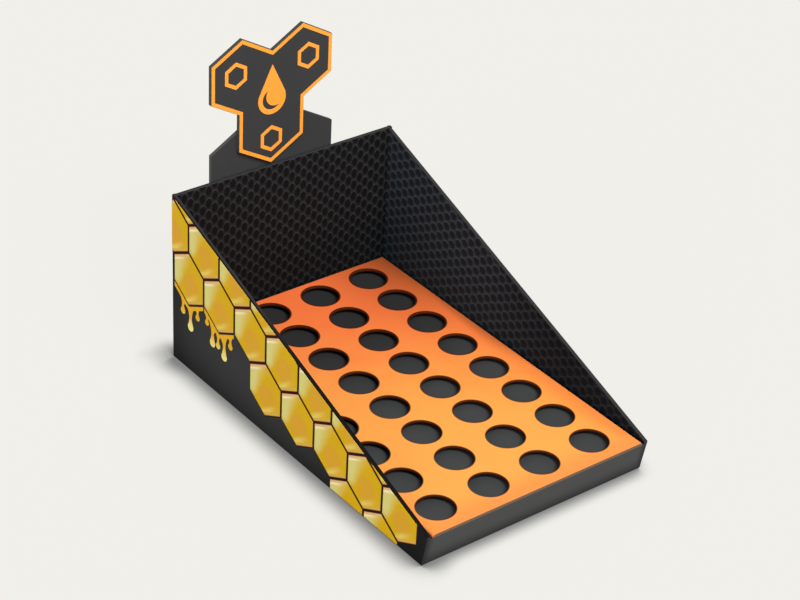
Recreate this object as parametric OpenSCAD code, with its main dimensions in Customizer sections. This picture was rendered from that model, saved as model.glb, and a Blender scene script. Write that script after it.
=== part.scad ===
/* [Tray] */
// outer width, left to right
tray_width = 130; // [80:1:260]
// outer depth along the base, front to back
tray_depth = 200; // [120:1:400]
// height of the back wall
back_height = 92.5; // [50:0.5:200]
// height of the low front, which is the top of the deck
front_height = 18; // [12:0.5:40]
// how far the front wall leans out at its top
front_lean = 3.2; // [0:0.1:8]
// thickness of the folded sheet, walls are two plies
ply = 1; // [0.6:0.1:2]
// length of the tab slots in the underside
tab_slot_length = 24; // [10:1:40]

/* [Deck] */
// thickness of the deck board
deck_board = 1.5; // [0.8:0.1:3]
// gap between the deck and the walls
deck_gap = 1.2; // [0.3:0.1:3]
// diameter of the holes
hole_diameter = 18.5; // [10:0.1:40]
// columns of holes, left to right
hole_columns = 4; // [1:1:10]
// rows of holes, front to back
hole_rows = 8; // [1:1:20]
// spacing of the columns
column_pitch = 30.2; // [12:0.1:60]
// spacing of the rows
row_pitch = 24.4; // [12:0.1:60]
// centre of the last row to the outer rear face
last_row_inset = 17.3; // [10:0.1:60]
// sideways shift of the whole grid of holes, left is negative
hole_shift = -3.2; // [-8:0.1:8]
// depth of a hole, from the top of the deck to the shelf
hole_depth = 3.5; // [3:0.5:14]

/* [Shelf and ribs] */
// gap between the shelf and the walls
shelf_gap = 0.5; // [0.2:0.1:2]
// thickness of the rib board
rib_board = 1.5; // [0.8:0.1:3]
// gap at the ends of the ribs
rib_end_gap = 0.5; // [0.2:0.1:3]
// gap across a rib slot
slot_gap = 0.2; // [0.1:0.05:1]

/* [Riser and sign] */
// thickness of the riser board and of the sign board
sign_board = 2; // [1:0.1:5]
// width of the six-sided riser
riser_width = 71; // [40:0.5:120]
// height of the middle of the riser
riser_middle = 85.5; // [60:0.5:140]
// sideways place of the riser, left is negative
riser_shift = -7.2; // [-20:0.1:20]
// width of one of the two upper cells of the sign
sign_cell = 34.8; // [20:0.1:60]
// width of the lower cell of the sign
sign_foot = 37.6; // [20:0.1:60]
// gap between the top of the back wall and the sign
sign_lift = 1.7; // [0.5:0.1:20]
// sideways place of the sign, left is negative
sign_shift = -9.4; // [-20:0.1:20]
// width of the printed border of the sign
border_width = 1.8; // [1:0.1:5]
// width of the printed drop in the middle of the sign
drop_width = 16; // [8:0.5:24]
// width of a printed ring
ring_width = 12.4; // [6:0.2:20]
// width of the line of a ring
ring_line = 1.8; // [0.6:0.1:3]

/* [Printed fields] */
// thickness of a printed field
print_depth = 0.2; // [0.1:0.05:0.5]
// width of one printed honeycomb cell
cell_width = 26; // [15:0.1:40]
// width of the dark line between two cells
cell_line = 1.2; // [0.4:0.1:3]
// depth of the layer of honey below a cell
layer_depth = 2.2; // [1:0.1:5]
// drop of the rows of cells toward the front, as a slope
cell_slope = 0.073; // [0:0.001:0.2]
// centre of the rearmost full cell, from the outer rear face
cell_inset = 14.5; // [0:0.5:60]
// height of the middle of that cell
cell_middle = 52.5; // [20:0.5:120]

/* [Hidden] */
$fn = 64;
eps = 0.01;
wall = 2 * ply;
half_width = tray_width / 2;
home_shift = (front_lean - tray_depth - sign_board) / 2;

// deck, its folded edge and the shelf below it
deck_top = front_height;
deck_underside = deck_top - deck_board;
deck_half = half_width - wall - deck_gap;
deck_back = tray_depth - wall - deck_gap;
flange_front = wall + deck_gap;
deck_fold = 0.8 * deck_board;
shelf_top = deck_top - hole_depth;
shelf_fold = 0.8 * ply;
shelf_half = half_width - wall - shelf_gap;
shelf_back = tray_depth - wall - shelf_gap;
shelf_front = wall + shelf_gap;

// ribs under the shelf, halved where they cross
rib_low = ply;
rib_high = shelf_top - ply;
rib_mid = (rib_low + rib_high) / 2;
rib_half = shelf_half - ply - rib_end_gap;
rib_front = shelf_front + ply + rib_end_gap;
rib_back = shelf_back - ply - rib_end_gap;
cross_ribs = [rib_front + (rib_back - rib_front) / 3, rib_front + (rib_back - rib_front) * 2 / 3];

// regular cells: side length and the share of an inset along a corner
function side_of(width) = width / sqrt(3);
corner_share = 2 / sqrt(3);

// slope of the side walls' top edge
edge_run = tray_depth + front_lean;
edge_rise = back_height - front_height;
edge_length = sqrt(edge_run * edge_run + edge_rise * edge_rise);
edge_angle = atan2(edge_rise, edge_run);

// the front wall leans out, and its fold at the base is round
lean_angle = atan2(front_lean, front_height);
function lean_at(height) = front_lean * height / front_height;
front_fold = ply * (1 - sin(lean_angle)) / cos(lean_angle);
top_fold = ply / 2;

// printed rows of cells: row, first column and last column, in half cells
cell_rows = [[2, 0, 0], [1, -1, 5], [0, 0, 12], [-1, 5, 13], [-2, 10, 12]];
cell_start = tray_depth - cell_inset;
honey_half = (cell_width - cell_line) / 2;

// drips under two cells: place along the cell, length and width of the round end
rear_drips = [[-7.6, 8, 3.4], [-1.4, 14, 4.6], [5.2, 10, 3.8]];
middle_drips = [[-9.8, 8.5, 3.4], [-4.6, 15, 4.4], [0.6, 9, 3.4], [5.4, 13.5, 4.4], [10.2, 7, 3.2]];

// Shared placement

module home() {
    translate([0, home_shift, 0]) children();
}

// a flat shape given as depth and height, drawn out along X from x0 to x1
module along_x(x0, x1) {
    translate([x0, 0, 0]) rotate([90, 0, 90]) linear_extrude(x1 - x0) children();
}

// a flat shape given as width and height, drawn out along Y from y0 to y1
module along_y(y0, y1) {
    translate([0, y1, 0]) rotate([90, 0, 0]) linear_extrude(y1 - y0) children();
}

// Tray: one sheet folded into double walls

// outline of the outside, seen from the side, up to given heights at the back and front,
// with round folds along the base
module outer_outline(back_top, front_top) {
    polygon([[front_fold, 0], [tray_depth - ply, 0], [tray_depth - ply, ply], [tray_depth, ply],
        [tray_depth, back_top], [-lean_at(front_top), front_top],
        [front_fold - ply * cos(lean_angle), ply - ply * sin(lean_angle)], [front_fold, ply]]);
    translate([front_fold, ply]) circle(r = ply);
    translate([tray_depth - ply, ply]) circle(r = ply);
}

// section of a double wall, folded over at its top with two small rounds
module wall_section(height) {
    square([wall, height - top_fold]);
    translate([top_fold, 0]) square([wall - 2 * top_fold, height]);
    for (x = [top_fold, wall - top_fold]) translate([x, height - top_fold]) circle(r = top_fold);
}

module side_wall() {
    intersection() {
        along_x(half_width - wall, half_width) outer_outline(back_height, front_height);
        translate([half_width - wall, -front_lean, front_height]) rotate([edge_angle, 0, 0])
            along_y(-2 * wall, edge_length + 2 * wall) translate([0, -2 * back_height])
                wall_section(2 * back_height);
    }
}

// base, from fold to fold, seen from the side
module base_section() {
    intersection() {
        outer_outline(back_height, front_height);
        translate([-wall, 0]) square([tray_depth + 2 * wall, ply]);
    }
}

// front wall, seen from the side, which ends flat under the deck
module front_section() {
    top = deck_underside;
    thick = wall / cos(lean_angle);
    intersection() {
        outer_outline(back_height, front_height);
        polygon([[0, 0], [thick, 0], [thick - lean_at(top), top], [-lean_at(top), top]]);
    }
}

module back_section() {
    intersection() {
        outer_outline(back_height + wall, front_height);
        translate([tray_depth - wall, 0]) wall_section(back_height);
    }
}

// the whole width, with round folds along both sides of the base
module front_outline() {
    translate([-half_width, ply]) square([tray_width, back_height]);
    translate([-half_width + ply, 0]) square([tray_width - 2 * ply, back_height]);
    for (side = [-1, 1]) translate([side * (half_width - ply), ply]) circle(r = ply);
}

module tray() {
    color([0.13, 0.13, 0.14]) home() difference() {
        intersection() {
            along_y(-2 * wall, tray_depth + wall) front_outline();
            union() {
                along_x(-half_width, half_width) base_section();
                along_x(-half_width, half_width) front_section();
                along_x(-half_width, half_width) back_section();
                side_wall();
                mirror([1, 0, 0]) side_wall();
            }
        }
        underside_slots();
        rear_seams();
    }
}

// slots where the inner plies lock through the base
module underside_slots() {
    for (side = [-1, 1], place = [0.27, 0.73])
        translate([side * (half_width - wall - ply), place * tray_depth, 0])
            cube([ply + slot_gap, tab_slot_length, ply], center = true);
    for (side = [-0.5, 0.5])
        translate([side * half_width, tray_depth - wall - ply, 0])
            cube([tab_slot_length, ply + slot_gap, ply], center = true);
}

// joints between the rear panel and the edges of the side panels
module rear_seams() {
    for (side = [-1, 1])
        translate([side * (half_width - ply), tray_depth, back_height / 2])
            cube([slot_gap, 2 * slot_gap, back_height - 4 * ply], center = true);
}

// Deck: one board with folded edges and the holes

module deck() {
    color([0.98, 0.62, 0.28]) home() difference() {
        intersection() {
            along_y(-front_lean, deck_back)
                folded_outline(-deck_half, deck_half, deck_top, shelf_top, deck_fold, [1, 1]);
            along_x(-deck_half, deck_half)
                folded_outline(-front_lean, deck_back, deck_top, shelf_top, deck_fold, [0, 1]);
        }
        translate([-deck_half + deck_board, -2 * front_lean, 0])
            cube([2 * (deck_half - deck_board), deck_back - deck_board + 2 * front_lean,
                deck_underside]);
        translate([-half_width, -2 * front_lean, 0])
            cube([tray_width, flange_front + 2 * front_lean, deck_underside]);
        for (side = [-1, 1])
            translate([side * deck_half, deck_back, deck_underside / 2])
                cube([3 * deck_board, 3 * deck_board, deck_underside], center = true);
        hole_grid() cylinder(d = hole_diameter, h = 3 * deck_board, center = true);
    }
}

// board over its folded edges, from low to high along the ground, with round folds on the ends
// that are folded down
module folded_outline(low, high, top, bottom, fold, ends) {
    translate([low, bottom]) square([high - low, top - bottom - fold]);
    translate([low + ends[0] * fold, bottom])
        square([high - low - (ends[0] + ends[1]) * fold, top - bottom]);
    if (ends[0] == 1) translate([low + fold, top - fold]) circle(r = fold);
    if (ends[1] == 1) translate([high - fold, top - fold]) circle(r = fold);
}

module hole_grid() {
    for (column = [0:hole_columns - 1], row = [0:hole_rows - 1])
        translate([hole_shift + (column - (hole_columns - 1) / 2) * column_pitch,
            tray_depth - last_row_inset - row * row_pitch, deck_top - deck_board / 2])
            children();
}

// Shelf: a folded sheet that closes the holes from below

module shelf() {
    color([0.24, 0.24, 0.25]) home() difference() {
        intersection() {
            along_y(shelf_front, shelf_back)
                folded_outline(-shelf_half, shelf_half, shelf_top, ply, shelf_fold, [1, 1]);
            along_x(-shelf_half, shelf_half)
                folded_outline(shelf_front, shelf_back, shelf_top, ply, shelf_fold, [1, 1]);
        }
        translate([-shelf_half + ply, shelf_front + ply, 0])
            cube([2 * (shelf_half - ply), shelf_back - shelf_front - 2 * ply, shelf_top - ply]);
        for (side = [-1, 1], end = [shelf_front, shelf_back])
            translate([side * shelf_half, end, shelf_top / 2 - ply])
                cube([3 * ply, 3 * ply, shelf_top], center = true);
    }
}

// Ribs: three strips halved into each other

module rib_long() {
    color([0.55, 0.45, 0.33]) home() difference() {
        translate([-rib_board / 2, rib_front, rib_low])
            cube([rib_board, rib_back - rib_front, rib_high - rib_low]);
        for (place = cross_ribs)
            translate([-rib_board, place - (rib_board + slot_gap) / 2, rib_mid])
                cube([2 * rib_board, rib_board + slot_gap, rib_high]);
    }
}

module rib_cross(place) {
    color([0.6, 0.5, 0.37]) home() difference() {
        translate([-rib_half, place - rib_board / 2, rib_low])
            cube([2 * rib_half, rib_board, rib_high - rib_low]);
        translate([-(rib_board + slot_gap) / 2, place - rib_board, 0])
            cube([rib_board + slot_gap, 2 * rib_board, rib_mid + slot_gap]);
    }
}

module rib_cross_front() {
    rib_cross(cross_ribs[0]);
}

module rib_cross_back() {
    rib_cross(cross_ribs[1]);
}

// Riser and sign

// corners of a regular cell that stands on a point
function cell_points(width) =
    [for (corner = [0:5]) side_of(width) * [sin(60 * corner), cos(60 * corner)]];

module riser() {
    color([0.24, 0.24, 0.24]) home()
        translate([riser_shift, 0, riser_middle])
            along_y(tray_depth, tray_depth + sign_board) polygon(cell_points(riser_width));
}

// corners of the right half of the three joined cells, from the notch at the top
// to the side of the lower cell: across, up from the lowest point, and the way inward
function sign_half(side) =
    [[sign_cell / 2, 3.5 * side, -90], [sign_cell, 3 * side, -150], [sign_cell, 2 * side, 150],
    [sign_foot / 2, 2 * side - (sign_cell - sign_foot / 2) / sqrt(3), 150],
    [sign_foot / 2, sign_foot / 2 / sqrt(3), 150]];

// the whole outline, moved inward by inset
function sign_points(inset) =
    let (side = side_of(sign_cell))
    let (right = [for (corner = sign_half(side)) inward(corner, inset)])
    concat([inward([0, 3 * side, -90], inset)], right, [inward([0, 0, 90], inset)],
        [for (i = [len(right) - 1:-1:0]) [-right[i][0], right[i][1]]]);

function inward(corner, inset) =
    [corner[0], corner[1]] + inset * corner_share * [cos(corner[2]), sin(corner[2])];

module on_sign(front, back) {
    translate([sign_shift, 0, back_height + sign_lift])
        along_y(tray_depth - sign_board - front, tray_depth - back) children();
}

module sign_plate() {
    color([0.24, 0.24, 0.24]) home() on_sign(0, 0) polygon(sign_points(0));
}

module sign_border() {
    color([1, 0.65, 0.2]) home() on_sign(print_depth, sign_board) difference() {
        polygon(sign_points(print_depth));
        polygon(sign_points(print_depth + border_width));
    }
}

// a drop with a crescent of light, and one small ring in each cell
module sign_motif() {
    drop = drop_width / 2;
    color([1, 0.65, 0.2]) home() on_sign(print_depth, sign_board) {
        translate([0, 1.72 * side_of(sign_cell)]) difference() {
            drop_shape(drop, 2.3 * drop);
            difference() {
                circle(r = 0.68 * drop);
                translate([0.26 * drop, 0.2 * drop]) circle(r = 0.68 * drop);
            }
        }
        for (cell = [[0, 0.66], [-0.6, 2.6], [0.6, 2.6]])
            translate([cell[0] * sign_cell, cell[1] * side_of(sign_cell)]) difference() {
                polygon(cell_points(ring_width));
                polygon(cell_points(ring_width - 2 * ring_line));
            }
    }
}

// a drop of a given radius that runs up to a point at a given height
module drop_shape(radius, tip) {
    touch = radius * radius / tip;
    half = sqrt(radius * radius - touch * touch);
    circle(r = radius);
    polygon([[0, tip], [-half, touch], [half, touch]]);
}

// Printed fields on the two sides

function cell_centre(column, row) =
    [cell_start - column * cell_width / 2,
    cell_middle + 1.5 * row * side_of(cell_width) - cell_slope * column * cell_width / 2];

// one cell whose sides stay upright while its rows follow the slope
module leaning_cell() {
    polygon([for (point = cell_points(cell_width - cell_line))
        [point[0], point[1] + cell_slope * point[0]]]);
}

module honeycomb() {
    along_x(half_width, half_width + print_depth) intersection() {
        flat_side();
        for (band = cell_rows, column = [band[1]:2:band[2]])
            translate(cell_centre(column, band[0])) leaning_cell();
    }
}

// the flat part of a side, clear of the folds
module flat_side() {
    low = 1.1 * ply;
    high = 1.1 * top_fold / cos(edge_angle);
    polygon([[-lean_at(low), low], [tray_depth - eps, low],
        [tray_depth - eps, back_height - high], [-lean_at(front_height - high), front_height - high]]);
}

// honey that runs from under two cells of the middle row
module drips() {
    drip_layer(0);
    drip_layer(2);
    for (drip = rear_drips) one_drip(0, drip);
    for (drip = middle_drips) one_drip(2, drip);
}

// height of the honey's upper edge below a cell, at a place along the cell
function honey_edge(place) =
    abs(place) / sqrt(3) + cell_slope * place - side_of(cell_width - cell_line) - cell_line;

// a layer of honey along the two lower edges of a cell
module drip_layer(column) {
    ends = [-honey_half, 0, honey_half];
    along_x(half_width, half_width + print_depth) translate(cell_centre(column, 0))
        polygon(concat([for (place = ends) [place, honey_edge(place)]],
            [for (i = [2:-1:0]) [ends[i], honey_edge(ends[i]) - layer_depth]]));
}

// one side of a drip from its root to its neck, or back, as a hollow curve
function drip_side(place, reach, neck, shares) =
    let (root = on_cell(place + 1.6 * reach))
    let (top = honey_edge(root) - layer_depth / 2)
    [for (share = shares)
        [on_cell(place + reach * (0.4 + 1.2 * pow(1 - share, 2))), top + (neck - top) * share]];

function on_cell(place) = max(-honey_half, min(honey_half, place));

// a drip that narrows from its root to a neck and ends in a round drop,
// given as its place along the cell, its length and the width of its end
module one_drip(column, drip) {
    place = drip[0];
    end = drip[2] / 2;
    foot = honey_edge(place) - drip[1] + end;
    neck = honey_edge(place) - drip[1] / 2;
    left = drip_side(place, -end, neck, [1:-0.2:0]);
    right = drip_side(place, end, neck, [0:0.2:1]);
    bend = place < 1.6 * end && place > -1.6 * end ? [[0, honey_edge(0) - layer_depth / 2]] : [];
    along_x(half_width, half_width + print_depth) translate(cell_centre(column, 0)) {
        polygon(concat([[place - 0.88 * end, foot]], left, bend, right, [[place + 0.88 * end, foot]]));
        translate([place, foot]) circle(r = end);
    }
}

module left_honeycomb() {
    color([0.85, 0.65, 0.12]) home() mirror([1, 0, 0]) honeycomb();
}

module left_drips() {
    color([0.9, 0.7, 0.2]) home() mirror([1, 0, 0]) drips();
}

module right_honeycomb() {
    color([0.85, 0.65, 0.12]) home() honeycomb();
}

module right_drips() {
    color([0.9, 0.7, 0.2]) home() drips();
}

tray();
deck();
shelf();
rib_long();
rib_cross_front();
rib_cross_back();
riser();
sign_plate();
sign_border();
sign_motif();
left_honeycomb();
left_drips();
right_honeycomb();
right_drips();
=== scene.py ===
"""Looks for a cardboard counter display tray: printed board, cut edges, light and camera."""

import math

import bpy
from mathutils import Matrix, Vector

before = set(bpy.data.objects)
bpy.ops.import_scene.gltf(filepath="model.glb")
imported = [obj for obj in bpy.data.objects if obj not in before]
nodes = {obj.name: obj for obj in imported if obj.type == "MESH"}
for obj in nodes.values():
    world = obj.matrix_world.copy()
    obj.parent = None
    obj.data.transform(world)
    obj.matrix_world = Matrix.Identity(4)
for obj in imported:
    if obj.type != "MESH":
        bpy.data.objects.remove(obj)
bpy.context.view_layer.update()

MM_PER_M = 1000
SIN_60 = math.sqrt(0.75)

# Sizes that the print shares with the solids, in millimetres. HOLE_X and HOLE_Y are the middle of
# one hole, and the pitches lead from it to the others.

TRAY_HALF_WIDTH = 65.0
TRAY_FRONT_Y = -99.4
TRAY_BACK_Y = 100.6
WALL = 2.0
DECK_TOP = 18.0
HOLE_RADIUS = 9.25
HOLE_X, HOLE_Y = 11.9, 83.3
COLUMN_PITCH, ROW_PITCH = 30.2, 24.4
CELL_WIDTH = 26.0
CELL_SLOPE = 0.073
CELL_BACK_INSET = 14.5
CELL_MIDDLE = 52.5

# Printed rows of cells: row, and its first and last column in half cells
CELL_ROWS = ((2, 0, 0), (1, -1, 5), (0, 0, 12), (-1, 5, 13), (-2, 10, 12))

# How far behind a face a point may be to count as on it, and as inside the tray
ON_FACE = 0.1
INSIDE = 0.2

# Below, a pair whose name ends in X, Y or Z says where a change starts and ends, in millimetres.
# A share is the full strength of a change, and a size is a grain size in millimetres.


def ink(red, green, blue, gain=1.0):
    """A printed colour given in 0 to 255 as seen on a screen, as linear numbers."""
    def linear(value):
        value /= 255
        return value / 12.92 if value <= 0.04045 else ((value + 0.055) / 1.055) ** 2.4
    return tuple(min(1.0, gain * linear(value)) for value in (red, green, blue)) + (1.0,)


WHITE = (1.0, 1.0, 1.0, 1.0)

# The fibre of printed board: grain sizes and the bump's depth in millimetres
FINE_FIBRE, BROAD_FIBRE = 0.35, 9.0
FIBRE_DEPTH, FIBRE_STRENGTH = 0.02, 0.6


class Finish:
    """Builds the nodes of one material."""

    # Sockets of a Mix node by what it mixes: first input, second input and output
    MIX_SOCKETS = {"FLOAT": (2, 3, 0), "VECTOR": (4, 5, 1), "RGBA": (6, 7, 2)}

    def __init__(self, name, roughness, specular):
        self.material = bpy.data.materials.new(name)
        self.material.use_nodes = True
        self.tree = self.material.node_tree
        self.tree.nodes.clear()
        self.shader = self.tree.nodes.new("ShaderNodeBsdfPrincipled")
        self.shader.inputs["Roughness"].default_value = roughness
        self.shader.inputs["Specular IOR Level"].default_value = specular
        output = self.tree.nodes.new("ShaderNodeOutputMaterial")
        self.tree.links.new(self.shader.outputs["BSDF"], output.inputs["Surface"])

    def put(self, socket, value):
        """Gives a socket a number, a colour or another node's output."""
        if isinstance(value, bpy.types.NodeSocket):
            self.tree.links.new(value, socket)
        else:
            socket.default_value = value

    def math(self, operation, *values):
        """One step of arithmetic on numbers."""
        node = self.tree.nodes.new("ShaderNodeMath")
        node.operation = operation
        for socket, value in zip(node.inputs, values):
            self.put(socket, value)
        return node.outputs[0]

    def vector(self, operation, *values, out="Vector"):
        """One step of arithmetic on places or colours."""
        node = self.tree.nodes.new("ShaderNodeVectorMath")
        node.operation = operation
        for socket, value in zip(node.inputs, values):
            self.put(socket, value)
        return node.outputs[out]

    def join(self, x, y, z=0.0):
        """A place or colour made of its three numbers."""
        node = self.tree.nodes.new("ShaderNodeCombineXYZ")
        for socket, value in zip(node.inputs, (x, y, z)):
            self.put(socket, value)
        return node.outputs[0]

    def split(self, value):
        """The three numbers of a place or a normal."""
        node = self.tree.nodes.new("ShaderNodeSeparateXYZ")
        self.put(node.inputs[0], value)
        return node.outputs[0], node.outputs[1], node.outputs[2]

    def place(self):
        """The point on the object, in millimetres."""
        node = self.tree.nodes.new("ShaderNodeTexCoord")
        return self.vector("MULTIPLY", node.outputs["Object"], (MM_PER_M,) * 3)

    def normal(self):
        """The way the face looks out."""
        return self.tree.nodes.new("ShaderNodeNewGeometry").outputs["True Normal"]

    def noise(self, where, size, detail, roughness=0.55):
        """Noise of a given grain size in millimetres, from 0 to 1."""
        node = self.tree.nodes.new("ShaderNodeTexNoise")
        self.put(node.inputs["Vector"], where)
        node.inputs["Scale"].default_value = 1 / size
        node.inputs["Detail"].default_value = detail
        node.inputs["Roughness"].default_value = roughness
        return node.outputs[0]

    def sway(self, where, size, detail, reach):
        """Noise around 0, with the given reach from its lowest to its highest."""
        return self.math("MULTIPLY", self.math("SUBTRACT", self.noise(where, size, detail), 0.5), reach)

    def ease(self, value, start, end):
        """A smooth change from 0 at start to 1 at end. The end may be the lower number."""
        node = self.tree.nodes.new("ShaderNodeMapRange")
        node.interpolation_type = "SMOOTHSTEP"
        self.put(node.inputs["Value"], value)
        self.put(node.inputs["From Min"], start)
        self.put(node.inputs["From Max"], end)
        return node.outputs["Result"]

    def band(self, value, middle, half):
        """1 in the middle of a soft band, 0 at its two sides."""
        return self.ease(self.math("ABSOLUTE", self.math("SUBTRACT", value, middle)), half, 0.0)

    def within(self, value, low, high):
        """1 between low and high, 0 outside."""
        return self.both(self.math("GREATER_THAN", value, low), self.math("LESS_THAN", value, high))

    def both(self, *masks):
        """1 where every mask is 1."""
        result = masks[0]
        for mask in masks[1:]:
            result = self.math("MULTIPLY", result, mask)
        return result

    def part(self, mask, share):
        """A mask at less than its full strength."""
        return self.math("MULTIPLY", mask, share)

    def between(self, kind, share, first, second):
        """The first value where share is 0 and the second where it is 1."""
        node = self.tree.nodes.new("ShaderNodeMix")
        node.data_type = kind
        first_socket, second_socket, result = self.MIX_SOCKETS[kind]
        self.put(node.inputs[0], share)
        self.put(node.inputs[first_socket], first)
        self.put(node.inputs[second_socket], second)
        return node.outputs[result]

    def mix(self, share, first, second):
        """A share of the way from one colour to another."""
        return self.between("RGBA", share, first, second)

    def blend(self, share, first, second):
        """A share of the way from one number to another."""
        return self.between("FLOAT", share, first, second)

    def length(self, x, y):
        """Distance of a place from 0."""
        return self.vector("LENGTH", self.join(x, y), out="Value")

    def out_of(self, x, y, centre, reach):
        """Distance from the middle of an oval: 1 on its outline."""
        return self.length(self.math("DIVIDE", self.math("SUBTRACT", x, centre[0]), reach[0]),
                           self.math("DIVIDE", self.math("SUBTRACT", y, centre[1]), reach[1]))

    def along(self, x, y, turn):
        """How far a place in a cell lies along a direction, given in degrees from the front."""
        angle = math.radians(turn)
        return self.math("ADD", self.math("MULTIPLY", x, math.cos(angle)),
                         self.math("MULTIPLY", y, math.sin(angle)))

    def cells(self, across, up, width):
        """Regular cells that stand on a point: the place in the nearest one, in half widths."""
        step = (width, width * math.sqrt(3), 0.0)
        high = tuple(s / 2 for s in step)
        low = tuple(-s / 2 for s in step)
        point = self.join(across, up)
        even = self.vector("WRAP", point, high, low)
        odd = self.vector("WRAP", self.vector("ADD", point, high), high, low)
        nearer = self.math("LESS_THAN", self.vector("LENGTH", odd, out="Value"),
                           self.vector("LENGTH", even, out="Value"))
        nearest = self.between("VECTOR", nearer, even, odd)
        x, y, _ = self.split(self.vector("MULTIPLY", nearest, (2 / width,) * 3))
        return x, y

    def outward(self, x, y):
        """How far out a place in a cell is: 0 in the middle and 1 at the cell's edge."""
        wide = self.math("ABSOLUTE", x)
        slant = self.math("ADD", self.math("MULTIPLY", wide, 0.5),
                          self.math("MULTIPLY", self.math("ABSOLUTE", y), SIN_60))
        return self.math("MAXIMUM", wide, slant)

    def shaded(self, colour, shade):
        """A colour times a number."""
        return self.vector("MULTIPLY", colour, self.join(shade, shade, shade))

    def emboss(self, height):
        """A shallow bump."""
        node = self.tree.nodes.new("ShaderNodeBump")
        node.inputs["Strength"].default_value = FIBRE_STRENGTH
        node.inputs["Distance"].default_value = FIBRE_DEPTH / MM_PER_M
        self.put(node.inputs["Height"], height)
        self.put(self.shader.inputs["Normal"], node.outputs[0])

    def on_board(self, where, colour, tone):
        """Lays a colour on fibrous board: a faint change of tone and a shallow bump."""
        fine = self.noise(where, FINE_FIBRE, detail=4.0)
        broad = self.noise(where, BROAD_FIBRE, detail=2.0)
        self.emboss(fine)
        shade = self.math("ADD", self.math("MULTIPLY", fine, tone), self.math("MULTIPLY", broad, tone))
        shade = self.math("ADD", self.math("SUBTRACT", 1.0, tone), shade)
        self.colour(self.shaded(colour, shade))

    def colour(self, value):
        """Sets the base colour."""
        self.put(self.shader.inputs["Base Color"], value)


def dress(names, finish):
    """Gives CAD nodes a finish."""
    for name in names:
        mesh = nodes[name].data
        mesh.materials.clear()
        mesh.materials.append(finish.material)


# Place of the honeycomb print on the tray's sides

def honey_place(f, where):
    """Across and up on the side panel, level with the rows of cells."""
    _, y, z = f.split(where)
    across = f.math("SUBTRACT", TRAY_BACK_Y - CELL_BACK_INSET, y)
    up = f.math("ADD", f.math("SUBTRACT", z, CELL_MIDDLE), f.math("MULTIPLY", across, CELL_SLOPE))
    return across, up


def honey_outline(f, where):
    """1 where the nearest cell of the honeycomb is one that is printed."""
    across, up = honey_place(f, where)
    a, b = f.cells(across, up, CELL_WIDTH)
    half = CELL_WIDTH / 2
    column = f.math("DIVIDE", f.math("SUBTRACT", across, f.math("MULTIPLY", a, half)), half)
    rise = f.math("SUBTRACT", up, f.math("MULTIPLY", b, half))
    row = f.math("DIVIDE", rise, CELL_WIDTH * SIN_60)
    found = 0.0
    for level, first, last in CELL_ROWS:
        here = f.both(f.within(row, level - 0.5, level + 0.5), f.within(column, first - 0.5, last + 0.5))
        found = f.math("MAXIMUM", found, here)
    return found


# Mesh inside the tray: rounded dark dots on a grey web, with a painted highlight arc above each dot

# Each mesh: width of a dot's cell, stretch along the wall, and the inks of dot, web and painted
# highlight arc
SIDE_MESH = (5.4, 0.955, ink(31, 36, 40), ink(54, 60, 66), ink(70, 76, 82))
BACK_MESH = (6.6, 1.633, ink(19, 19, 20), ink(37, 38, 39), ink(54, 54, 55))

# The ragged and soft edge of a dot, and the painted highlight arc above it, in half widths of a cell
FRAY_SIZE, FRAY_REACH = 1.6, 0.4
DOT_EDGE = (0.58, 1.0)
HIGHLIGHT_ARC_MIDDLE, HIGHLIGHT_ARC_HALF, HIGHLIGHT_ARC_RISE = 0.86, 0.2, (0.3, 0.7)

# Tints that multiply the inks, and where they set in
FRONT_TINT, FRONT_TINT_Y = (0.3, 0.38, 0.44, 1.0), (35.0, -50.0)
LOW_SIDE_TINT, LOW_BACK_TINT = (0.86, 1.1, 1.12, 1.0), (0.6, 0.76, 0.8, 1.0)
LOW_TINT_Z = (60.0, DECK_TOP)


def mesh_print(f, where):
    """The mesh inside the tray, larger on the back wall, cooler low down and darker to the front."""
    x, y, z = f.split(where)
    fray = f.sway(where, FRAY_SIZE, detail=2.0, reach=FRAY_REACH)
    side = dots(f, y, z, fray, SIDE_MESH)
    back = dots(f, x, z, fray, BACK_MESH)
    fade = f.mix(f.ease(y, *FRONT_TINT_Y), WHITE, FRONT_TINT)
    inside_back = on_back(f, y, TRAY_BACK_Y - WALL)
    cool = f.mix(inside_back, LOW_SIDE_TINT, LOW_BACK_TINT)
    cool = f.mix(f.ease(z, *LOW_TINT_Z), WHITE, cool)
    return f.vector("MULTIPLY", f.mix(inside_back, f.vector("MULTIPLY", side, fade), back), cool)


def dots(f, along_wall, z, fray, kind):
    """Rounded dark dots on a web, with a thin painted highlight arc above each dot."""
    width, stretch, dark, web, light = kind
    rise, slide = f.cells(z, f.math("MULTIPLY", along_wall, stretch), width)
    out = f.math("ADD", f.length(rise, slide), fray)
    # Painted highlight: a thin pale arc along the top of each dot
    arc = f.both(f.band(out, HIGHLIGHT_ARC_MIDDLE, HIGHLIGHT_ARC_HALF), f.ease(rise, *HIGHLIGHT_ARC_RISE))
    return f.mix(arc, f.mix(f.ease(out, *DOT_EDGE), dark, web), light)


def on_back(f, y, face):
    """1 on a face of the back wall and behind it."""
    return f.math("GREATER_THAN", y, face - ON_FACE)


# Tray: black printed board with a pale painted sheen on its sides and a dark grey front

# Where the inside starts, behind the front edge and above the ground
INSIDE_FRONT, INSIDE_LOW_Z = 3, 1.5
# Limits on a normal's Y and Z, and the height above which a fold is a top edge
LOOKS_FORWARD, TRAY_LOOKS_UP = -0.7, 0.3
TOP_FOLD_Z = DECK_TOP - 1.0

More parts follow.
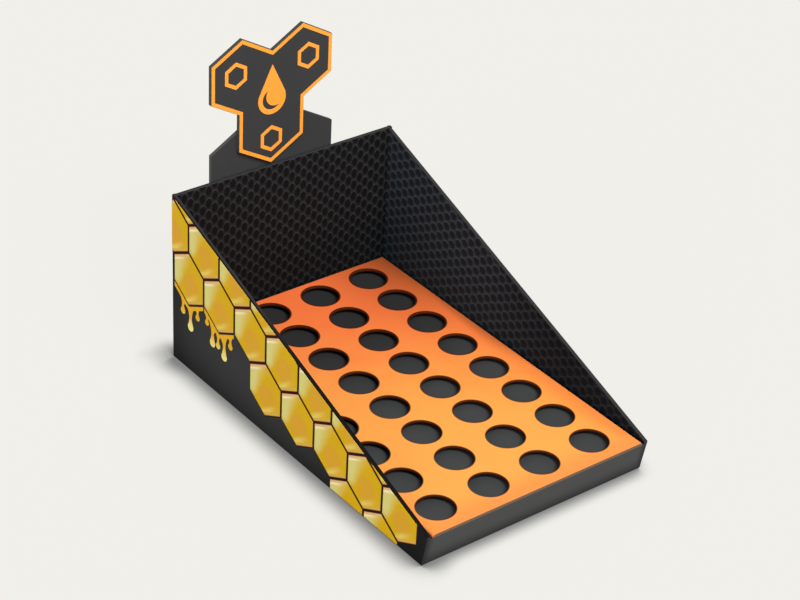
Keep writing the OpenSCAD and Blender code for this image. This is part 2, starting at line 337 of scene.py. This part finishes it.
# Sides: black board with a pale painted sheen around the middle, and darker at the back end
SIDE_SHEEN, SIDE_DARK, SIDE_BACK_END = ink(51, 51, 52), ink(21, 21, 22), ink(8, 8, 9)
SHEEN_CENTRE, SHEEN_REACH, SHEEN_EDGE = (30.0, 28.0), (115.0, 36.0), (0.1, 1.3)
BACK_END_Y, BACK_END_SHARE = (82.0, 104.0), 0.5
BEHIND_CELLS = ink(40, 15, 9)

FRONT_LOW, FRONT_HIGH, FRONT_Z = ink(36, 36, 37), ink(68, 68, 68), (-3.0, 9.0)
FRONT_ENDS, FRONT_ENDS_X = ink(40, 40, 41), (60.0, 65.5)

WORN, WORN_SHARE, WORN_WIDTH = ink(96, 94, 92), 0.5, (0.5, 0.15)
RUB_SIZE, RUB_EDGE = 3.0, (0.42, 0.62)

# The glued flaps end this far from the middle of the back, and this high
FLAP_LINE, FLAP_X, FLAP_Z, FLAP_HALF = ink(10, 10, 11), 53.0, 9.0, 0.35
FLAP_START_Z = (0.5, 2.0)

# Top folds: grey where light is painted, nearly black where shade is painted, grey on the back wall
FOLD_SHADED, FOLD_LIT, FOLD_BACK = ink(17, 17, 18), ink(50, 49, 50), ink(50, 49, 52)
# Millimetres from the middle of the left wall's fold, and along it, where painted light gives way to
# painted shade
FOLD_SPLIT, FOLD_LIT_Y = (-0.7, -0.2), (-10.0, 45.0)


def tray_finish():
    """Black print outside with a painted sheen on the sides and a grey front, the mesh inside, and folds
    on top that are grey where light is painted and black where shade is painted.
    """
    f = Finish("black_printed_board", roughness=0.6, specular=0.05)
    where = f.place()
    x, y, z = f.split(where)
    _, ny, nz = f.split(f.normal())
    wide = f.math("ABSOLUTE", x)
    inner = f.both(f.math("LESS_THAN", wide, TRAY_HALF_WIDTH - WALL + INSIDE),
                   f.within(y, TRAY_FRONT_Y + INSIDE_FRONT, TRAY_BACK_Y - WALL + INSIDE),
                   f.math("GREATER_THAN", z, INSIDE_LOW_Z))
    # Painted sheen: the sides grow paler toward the middle
    from_sheen = f.out_of(y, z, SHEEN_CENTRE, SHEEN_REACH)
    side = f.mix(f.ease(from_sheen, *SHEEN_EDGE), SIDE_SHEEN, SIDE_DARK)
    side = f.mix(f.part(f.ease(y, *BACK_END_Y), BACK_END_SHARE), side, SIDE_BACK_END)
    printed = f.both(f.math("GREATER_THAN", wide, TRAY_HALF_WIDTH - ON_FACE), honey_outline(f, where))
    side = f.mix(printed, side, BEHIND_CELLS)
    front = f.mix(f.ease(z, *FRONT_Z), FRONT_LOW, FRONT_HIGH)
    front = f.mix(f.ease(wide, *FRONT_ENDS_X), front, FRONT_ENDS)
    colour = f.mix(f.math("LESS_THAN", ny, LOOKS_FORWARD), side, front)
    colour = f.mix(worn_corner(f, where, wide, y, z), colour, WORN)
    colour = f.mix(flap_line(f, wide, y, z), colour, FLAP_LINE)
    colour = f.mix(inner, colour, mesh_print(f, where))
    f.on_board(where, f.mix(top_fold(f, nz, z), colour, fold_light_and_shade(f, x, y)), tone=0.06)
    return f


def worn_corner(f, where, wide, y, z):
    """A broken fine line where the print has rubbed off the outer folds of the tray."""
    from_side = f.math("ABSOLUTE", f.math("SUBTRACT", TRAY_HALF_WIDTH, wide))
    from_back = f.math("ABSOLUTE", f.math("SUBTRACT", TRAY_BACK_Y, y))
    nearer = f.math("MINIMUM", from_side, from_back)
    other = f.math("MINIMUM", f.math("MAXIMUM", from_side, from_back), z)
    off_fold = f.math("MAXIMUM", nearer, other)
    rubbed = f.ease(f.noise(where, RUB_SIZE, detail=4.0, roughness=0.7), *RUB_EDGE)
    return f.part(f.both(f.ease(off_fold, *WORN_WIDTH), rubbed), WORN_SHARE)


def flap_line(f, wide, y, z):
    """1 on the fine lines where the glued flaps of the back end."""
    end = f.math("MAXIMUM", f.band(wide, FLAP_X, FLAP_HALF), f.band(z, FLAP_Z, FLAP_HALF))
    return f.both(on_back(f, y, TRAY_BACK_Y), end, f.ease(z, *FLAP_START_Z))


def top_fold(f, nz, z):
    """1 on the folded top edges of the walls."""
    return f.both(f.math("GREATER_THAN", nz, TRAY_LOOKS_UP), f.math("GREATER_THAN", z, TOP_FOLD_Z))


def fold_light_and_shade(f, x, y):
    """Folds grey with painted light, and nearly black with painted shade along the outside of the left
    wall and at its front.
    """
    from_middle = f.math("ADD", x, TRAY_HALF_WIDTH - WALL / 2)
    left = f.both(f.ease(from_middle, *FOLD_SPLIT), f.ease(y, *FOLD_LIT_Y))
    # Painted light on the right wall's fold and on the inner, back part of the left one
    lit = f.math("MAXIMUM", f.math("GREATER_THAN", x, 0.0), left)
    side = f.mix(lit, FOLD_SHADED, FOLD_LIT)
    return f.mix(on_back(f, y, TRAY_BACK_Y - WALL), side, FOLD_BACK)


# Deck: orange print, redder to the back, with painted shade in the back right corner and by the right
# wall, and brown cut edges with painted shade low down

# The limit on a normal's Z, and the distance from the middle at which the sides are folded
DECK_LOOKS_UP, FOLDED_X = 0.35, 60.0

DECK_YELLOW, DECK_RED, REDDEN_Y = ink(250, 163, 73), ink(253, 122, 64), (-50.0, 90.0)
REDDEN_SKEW, CLOUD_SIZE, CLOUD_REACH = 0.5, 16.0, 60.0

DECK_RIM, RIM_SHARE, LEFT_RIM_SHARE = ink(252, 130, 64), 0.6, 0.7
RIGHT_RIM_X, LEFT_RIM_X, FRONT_RIM_Y = (48.0, 60.0), (48.0, 62.0), (-84.0, -102.0)

# Painted shade: brown in the back right corner and in a strip by the right wall
DECK_SHADE = ink(112, 52, 24)
SHADE_CORNER_X, SHADE_CORNER_Y, SHADE_CORNER_SHARE = (8.0, 66.0), (0.0, 100.0), 0.72
WALL_SHADE_X, WALL_SHADE_Y, WALL_SHADE_SHARE = (52.0, 61.5), (-28.0, 14.0), 0.45

# Cut edges: brown at the top and darkened lower down by painted shade, grey-brown at the front
CUT_SHADED, CUT_HIGH, CUT_SHADE_DEPTH = ink(26, 10, 5), ink(106, 46, 18), 1.4
CUT_FRONT, CUT_FRONT_OUT = ink(104, 84, 66), 1.0

HOLE_LINE, HOLE_LINE_SOFT, HOLE_LINE_Y = ink(64, 25, 10), 0.6, (-90.0, 90.0)
# How far the line reaches out from a hole at the front and at the back
HOLE_LINE_FRONT, HOLE_LINE_BACK = 0.6, 1.2


def deck_finish():
    """Orange print on the face and the folded sides with painted shade by the right wall, brown where
    the board is cut, with painted shade low on the cut.
    """
    f = Finish("orange_printed_board", roughness=0.55, specular=0.15)
    where = f.place()
    x, y, z = f.split(where)
    _, ny, nz = f.split(f.normal())
    cloud = f.sway(where, CLOUD_SIZE, detail=3.0, reach=CLOUD_REACH)
    back = f.math("ADD", f.math("ADD", y, f.math("MULTIPLY", x, REDDEN_SKEW)), cloud)
    colour = f.mix(f.ease(back, *REDDEN_Y), DECK_YELLOW, DECK_RED)
    left_rim = f.part(f.ease(f.math("MULTIPLY", x, -1.0), *LEFT_RIM_X), LEFT_RIM_SHARE)
    rim = f.math("MAXIMUM", f.ease(x, *RIGHT_RIM_X), left_rim)
    rim = f.math("MAXIMUM", rim, f.ease(y, *FRONT_RIM_Y))
    colour = f.mix(f.part(rim, RIM_SHARE), colour, DECK_RIM)
    # Painted shade in the back right corner and by the right wall
    corner = f.part(f.both(f.ease(x, *SHADE_CORNER_X), f.ease(y, *SHADE_CORNER_Y)), SHADE_CORNER_SHARE)
    wall_shade = f.part(f.both(f.ease(x, *WALL_SHADE_X), f.ease(y, *WALL_SHADE_Y)), WALL_SHADE_SHARE)
    colour = f.mix(f.math("MAXIMUM", corner, wall_shade), colour, DECK_SHADE)
    colour = f.mix(hole_line(f, x, y), colour, HOLE_LINE)
    flat = f.math("GREATER_THAN", nz, DECK_LOOKS_UP)
    folded = f.both(f.math("GREATER_THAN", f.math("ABSOLUTE", x), FOLDED_X),
                    f.math("GREATER_THAN", ny, LOOKS_FORWARD))
    cut = f.both(f.math("SUBTRACT", 1.0, flat), f.math("SUBTRACT", 1.0, folded))
    # Painted shade: the cut edges darken from the top down
    edge = f.mix(f.ease(z, DECK_TOP - CUT_SHADE_DEPTH, DECK_TOP), CUT_SHADED, CUT_HIGH)
    edge = f.mix(f.math("LESS_THAN", y, TRAY_FRONT_Y - CUT_FRONT_OUT), edge, CUT_FRONT)
    f.on_board(where, f.mix(cut, colour, edge), tone=0.03)
    return f


def hole_line(f, x, y):
    """1 on a fine line round each hole, a little wider toward the back."""
    across = f.math("WRAP", f.math("SUBTRACT", x, HOLE_X), COLUMN_PITCH / 2, -COLUMN_PITCH / 2)
    along = f.math("WRAP", f.math("SUBTRACT", y, HOLE_Y), ROW_PITCH / 2, -ROW_PITCH / 2)
    reach = f.blend(f.ease(y, *HOLE_LINE_Y), HOLE_RADIUS + HOLE_LINE_FRONT, HOLE_RADIUS + HOLE_LINE_BACK)
    line = f.ease(f.math("SUBTRACT", reach, f.length(across, along)), 0.0, HOLE_LINE_SOFT)
    return f.both(line, f.math("GREATER_THAN", y, TRAY_FRONT_Y))


# Boards of the riser and the sign, the shelf under the holes and the raw ribs

BOARD_FACE, RISER_RIM, SIGN_RIM = (57, 58, 59), (74, 74, 74), (66, 67, 67)
FACE_GAINS, FACE_CLOUD_SIZE = (0.92, 1.08), 40.0
# The limit on a normal's Y at a cut edge, and the board's layers there
LOOKS_ACROSS = 0.5
RIM_GAINS, LAYER_SIZE, LAYER_STRETCH = (0.7, 1.3), 0.7, (0.06, 1.0, 0.06)

SHELF_DARK, SHELF_PALE, SHELF_CLOUD_SIZE = ink(62, 63, 64), ink(68, 69, 69), 25.0
# Painted shade: the shelf grows darker toward the back
SHELF_SHADE, SHELF_SHADE_Y = ink(47, 47, 48), (-25.0, 55.0)

RAW_DARK, RAW_PALE = ink(132, 100, 66), ink(168, 134, 94)
FIBRE_SIZE, FIBRE_STRETCH = 0.5, (0.25, 0.25, 1.0)


def plain_board(name, rim):
    """Dark printed board that stands upright, with cut edges of another colour in fine layers."""
    f = Finish(name, roughness=0.6, specular=0.06)
    where = f.place()
    _, ny, _ = f.split(f.normal())
    edge = f.math("LESS_THAN", f.math("ABSOLUTE", ny), LOOKS_ACROSS)
    broad = f.noise(where, FACE_CLOUD_SIZE, detail=1.0)
    tone = f.mix(broad, *(ink(*BOARD_FACE, gain=gain) for gain in FACE_GAINS))
    layers = f.noise(f.vector("MULTIPLY", where, LAYER_STRETCH), LAYER_SIZE, detail=2.0)
    cut = f.mix(layers, *(ink(*rim, gain=gain) for gain in RIM_GAINS))
    f.on_board(where, f.mix(edge, tone, cut), tone=0.05)
    return f


def shelf_finish():
    """Dark grey print, with painted shade that makes it a little darker toward the back."""
    f = Finish("grey_printed_board", roughness=0.6, specular=0.06)
    where = f.place()
    _, y, _ = f.split(where)
    colour = f.mix(f.noise(where, SHELF_CLOUD_SIZE, detail=2.0), SHELF_DARK, SHELF_PALE)
    colour = f.mix(f.ease(y, *SHELF_SHADE_Y), colour, SHELF_SHADE)
    f.on_board(where, colour, tone=0.06)
    return f


def raw_board_finish():
    """Brown board without print, with level fibres."""
    f = Finish("plain_brown_board", roughness=0.85, specular=0.2)
    where = f.place()
    fibre = f.noise(f.vector("MULTIPLY", where, FIBRE_STRETCH), FIBRE_SIZE, detail=4.0)
    f.on_board(where, f.mix(fibre, RAW_DARK, RAW_PALE), tone=0.08)
    return f


# Honeycomb print: gold cells with an oval, a pale crescent, light lines, coloured rims and an outline

# Places are in half widths of a cell, a to the front and b up. Turns are in degrees from a to b.
WAVE_SIZE, WAVE_REACH = 6.0, 0.3
OVAL, AROUND_OVAL = ink(210, 156, 38), ink(208, 165, 2)
OVAL_CENTRE, OVAL_REACH, OVAL_EDGE = (0.15, -0.25), (0.7, 0.74), (0.58, 0.88)

# The pale crescent widens from a point at the lower left to the top
CRESCENT, CRESCENT_A, CRESCENT_LEAN = ink(211, 200, 120), 0.66, 0.15
CRESCENT_WIDTH, CRESCENT_GROWTH, CRESCENT_LEAST = 0.42, 0.36, 0.15
CRESCENT_EDGE, CRESCENT_POINT = (1.05, -0.15), (-0.72, -0.32)

# Soft lines in a cell: the ways out to the line and along it, its ends, and how far out it lies
LOW_GLOW, LOW_GLOW_TURNS, LOW_GLOW_ENDS = ink(220, 196, 92), (-50, 40), (0.5, -0.5)
LOW_GLOW_OUT, LOW_GLOW_HALF, LOW_GLOW_WAVE = 0.71, 0.2, 0.4
TOP_LINE, TOP_LINE_TURNS, TOP_LINE_ENDS = ink(240, 228, 188), (120, 30), (0.4, -0.35)
TOP_LINE_OUT, TOP_LINE_HALF, TOP_LINE_SHARE = 0.81, 0.08, 0.9

TOP_RIM, TOP_RIM_EDGE = ink(224, 176, 118), (0.83, 0.88)
LOW_RIM, LOW_RIM_TURN, LOW_RIM_EDGE = ink(212, 164, 70), -60, (0.8, 0.88)
CELL_OUTLINE, CELL_OUTLINE_EDGE = ink(74, 32, 14), (0.92, 0.96)

# The drips grow paler toward their lower ends. Heights count from the cells' middle row.
DRIP_HIGH, DRIP_LOW, DRIP_PALE_UP = ink(222, 166, 24), ink(232, 222, 134), (-17.0, -26.0)
DRIP_WAVE_SIZE, DRIP_WAVE_REACH = 3.0, 3.0

ORANGE_DARK, ORANGE_PALE, ORANGE_CLOUD_SIZE = ink(255, 156, 50), ink(255, 166, 62), 12.0


def honey_finish():
    """Gold print of one honeycomb cell, which repeats over the rows of cells."""
    f = Finish("gold_print", roughness=0.45, specular=0.05)
    where = f.place()
    a, b = f.cells(*honey_place(f, where), CELL_WIDTH)
    wave = f.sway(where, WAVE_SIZE, detail=2.0, reach=WAVE_REACH)
    oval = f.math("ADD", f.out_of(a, b, OVAL_CENTRE, OVAL_REACH), wave)
    colour = f.mix(f.ease(oval, *OVAL_EDGE), OVAL, AROUND_OVAL)
    colour = f.mix(crescent(f, a, b, wave), colour, CRESCENT)
    low, upward = (f.along(a, b, turn) for turn in LOW_GLOW_TURNS)
    low = f.math("ADD", low, f.math("MULTIPLY", wave, LOW_GLOW_WAVE))
    glow = f.both(f.band(low, LOW_GLOW_OUT, LOW_GLOW_HALF), f.ease(upward, *LOW_GLOW_ENDS))
    colour = f.mix(glow, colour, LOW_GLOW)
    high, along_line = (f.along(a, b, turn) for turn in TOP_LINE_TURNS)
    line = f.both(f.band(high, TOP_LINE_OUT, TOP_LINE_HALF), f.ease(along_line, *TOP_LINE_ENDS))
    colour = f.mix(f.part(line, TOP_LINE_SHARE), colour, TOP_LINE)
    colour = f.mix(f.ease(high, *TOP_RIM_EDGE), colour, TOP_RIM)
    colour = f.mix(f.ease(f.along(a, b, LOW_RIM_TURN), *LOW_RIM_EDGE), colour, LOW_RIM)
    colour = f.mix(f.ease(f.outward(a, b), *CELL_OUTLINE_EDGE), colour, CELL_OUTLINE)
    f.on_board(where, colour, tone=0.05)
    return f


def crescent(f, a, b, wave):
    """1 in the crescent along a cell's left side."""
    inner = f.math("SUBTRACT", f.math("ADD", a, CRESCENT_A), f.math("MULTIPLY", b, CRESCENT_LEAN))
    width = f.math("ADD", f.math("MULTIPLY", b, CRESCENT_GROWTH), CRESCENT_WIDTH)
    width = f.math("MAXIMUM", width, CRESCENT_LEAST)
    pale = f.ease(f.math("ADD", f.math("DIVIDE", inner, width), wave), *CRESCENT_EDGE)
    return f.both(pale, f.ease(b, *CRESCENT_POINT))


def drip_finish():
    """Gold print of the drips."""
    f = Finish("gold_drip_print", roughness=0.45, specular=0.05)
    where = f.place()
    _, up = honey_place(f, where)
    wave = f.math("MULTIPLY", f.noise(where, DRIP_WAVE_SIZE, detail=2.0), DRIP_WAVE_REACH)
    colour = f.mix(f.ease(f.math("ADD", up, wave), *DRIP_PALE_UP), DRIP_HIGH, DRIP_LOW)
    f.on_board(where, colour, tone=0.05)
    return f


def orange_ink_finish():
    """Orange print of the sign's border and motif."""
    f = Finish("orange_print", roughness=0.5, specular=0.2)
    where = f.place()
    colour = f.mix(f.noise(where, ORANGE_CLOUD_SIZE, detail=2.0), ORANGE_DARK, ORANGE_PALE)
    f.on_board(where, colour, tone=0.04)
    return f


dress(["tray"], tray_finish())
dress(["deck"], deck_finish())
dress(["shelf"], shelf_finish())
dress(["rib_long", "rib_cross_front", "rib_cross_back"], raw_board_finish())
dress(["riser"], plain_board("dark_riser_board", RISER_RIM))
dress(["sign_plate"], plain_board("dark_sign_board", SIGN_RIM))
dress(["sign_border", "sign_motif"], orange_ink_finish())
dress(["left_honeycomb", "right_honeycomb"], honey_finish())
dress(["left_drips", "right_drips"], drip_finish())


# Floor, light and camera

# Half the floor's side in metres, its colour, and how bright it is for the light that it throws back
FLOOR_HALF = 4.0
FLOOR_SEEN = (240, 239, 234)
FLOOR_GAIN = 0.87
# The darkest tone close to the object, and how much of the lamps' own shadow the camera sees
CONTACT_TONE = (126, 126, 126)
SHADOW_SHARE = 0.05

# Contact shadow in front, on the left and at the back left corner: reach in metres, and the
# openness of the floor at which the shadow is darkest. It ends where the openness is SHADOW_END.
SHADOW_REACH = (0.0105, 0.0165, 0.024)
SHADOW_START = (0.34, 0.46, 0.78)
SHADOW_END = 0.98
SHADOW_LEFT_X, SHADOW_BACK_Y = (-45.0, -68.0), (80.0, 112.0)
SHADOW_SAMPLES = 16

WORLD_STRENGTH = 0.34

# Lamps: name, azimuth, elevation, strength and spread, with the angles in degrees.
# At strength 1 a white face that is turned to the lamp shows as white.
LAMPS = (("key", -4, 50, 0.97, 25), ("fill", -78, 20, 0.32, 30), ("rear_fill", 125, 30, 0.14, 50))

# The photograph's camera, in degrees and metres, with its focal length in pixels of the photograph
AZIMUTH, ELEVATION, ROLL = -39.087, 32.093, 3.03
CAMERA_PLACE = (-0.58013, -0.70920, 0.63795)
FOCAL_PIXELS, PHOTO_WIDTH, SENSOR_WIDTH = 2311.7, 800, 36
CAMERA_FAR = 20


def pale_floor():
    """A pale floor. The camera sees its colour almost as written, with the object's shadow on it."""
    mesh = bpy.data.meshes.new("floor")
    half = FLOOR_HALF
    corners = [(-half, -half, 0), (half, -half, 0), (half, half, 0), (-half, half, 0)]
    mesh.from_pydata(corners, [], [(0, 1, 2, 3)])
    floor = bpy.data.objects.new("floor", mesh)
    bpy.context.scene.collection.objects.link(floor)
    f = Finish("pale_floor", roughness=0.95, specular=0.0)
    f.colour(ink(*FLOOR_SEEN, gain=FLOOR_GAIN))
    seen = f.tree.nodes.new("ShaderNodeEmission")
    f.put(seen.inputs["Color"], f.mix(openness(f), ink(*CONTACT_TONE), ink(*FLOOR_SEEN)))
    share = f.tree.nodes.new("ShaderNodeMixShader")
    rays = f.tree.nodes.new("ShaderNodeLightPath")
    direct = f.math("MAXIMUM", rays.outputs["Is Camera Ray"], rays.outputs["Is Glossy Ray"])
    f.put(share.inputs[0], f.part(direct, 1 - SHADOW_SHARE))
    f.put(share.inputs[1], f.shader.outputs["BSDF"])
    f.put(share.inputs[2], seen.outputs[0])
    f.put(f.tree.nodes["Material Output"].inputs["Surface"], share.outputs[0])
    mesh.materials.append(f.material)


def openness(f):
    """0 on the floor close to the object and 1 away from it."""
    x, y, _ = f.split(f.place())
    near = f.tree.nodes.new("ShaderNodeAmbientOcclusion")
    near.samples = SHADOW_SAMPLES
    on_left = f.ease(x, *SHADOW_LEFT_X)
    corner = f.both(on_left, f.ease(y, *SHADOW_BACK_Y))

    def by_place(in_front, left, at_corner):
        return f.blend(corner, f.blend(on_left, in_front, left), at_corner)

    f.put(near.inputs["Distance"], by_place(*SHADOW_REACH))
    return f.ease(near.outputs["AO"], by_place(*SHADOW_START), SHADOW_END)


def pale_world():
    """Even white light from all around."""
    world = bpy.data.worlds.new("pale_studio")
    bpy.context.scene.world = world
    world.use_nodes = True
    back = world.node_tree.nodes["Background"]
    back.inputs["Color"].default_value = WHITE
    back.inputs["Strength"].default_value = WORLD_STRENGTH


def looking_from(azimuth, elevation):
    """The direction from the object toward an azimuth and elevation, in degrees."""
    turn, rise = math.radians(azimuth), math.radians(elevation)
    return Vector((math.sin(turn) * math.cos(rise), -math.cos(turn) * math.cos(rise), math.sin(rise)))


def soft_sun(name, azimuth, elevation, strength, spread):
    """A wide soft lamp that shines from a given azimuth and elevation."""
    lamp = bpy.data.lights.new(name, "SUN")
    lamp.energy = strength * math.pi
    lamp.angle = math.radians(spread)
    sun = bpy.data.objects.new(name, lamp)
    sun.rotation_euler = looking_from(azimuth, elevation).to_track_quat("Z", "Y").to_euler()
    bpy.context.scene.collection.objects.link(sun)


def photo_camera():
    """The camera at the photograph's place, which the fit of the tray's corners and holes gives."""
    forward = -looking_from(AZIMUTH, ELEVATION)
    level = forward.cross(Vector((0, 0, 1))).normalized()
    upright = level.cross(forward)
    roll = math.radians(ROLL)
    right = math.cos(roll) * level + math.sin(roll) * upright
    up = right.cross(forward)
    data = bpy.data.cameras.new("photo_camera")
    data.lens = FOCAL_PIXELS * SENSOR_WIDTH / PHOTO_WIDTH
    data.sensor_width = SENSOR_WIDTH
    data.clip_end = CAMERA_FAR
    camera = bpy.data.objects.new("photo_camera", data)
    turn = Matrix((right, up, -forward)).transposed().to_4x4()
    camera.matrix_world = Matrix.Translation(CAMERA_PLACE) @ turn
    bpy.context.scene.collection.objects.link(camera)
    bpy.context.scene.camera = camera


pale_floor()
pale_world()
for lamp_values in LAMPS:
    soft_sun(*lamp_values)
photo_camera()
bpy.context.scene.view_settings.view_transform = "Standard"
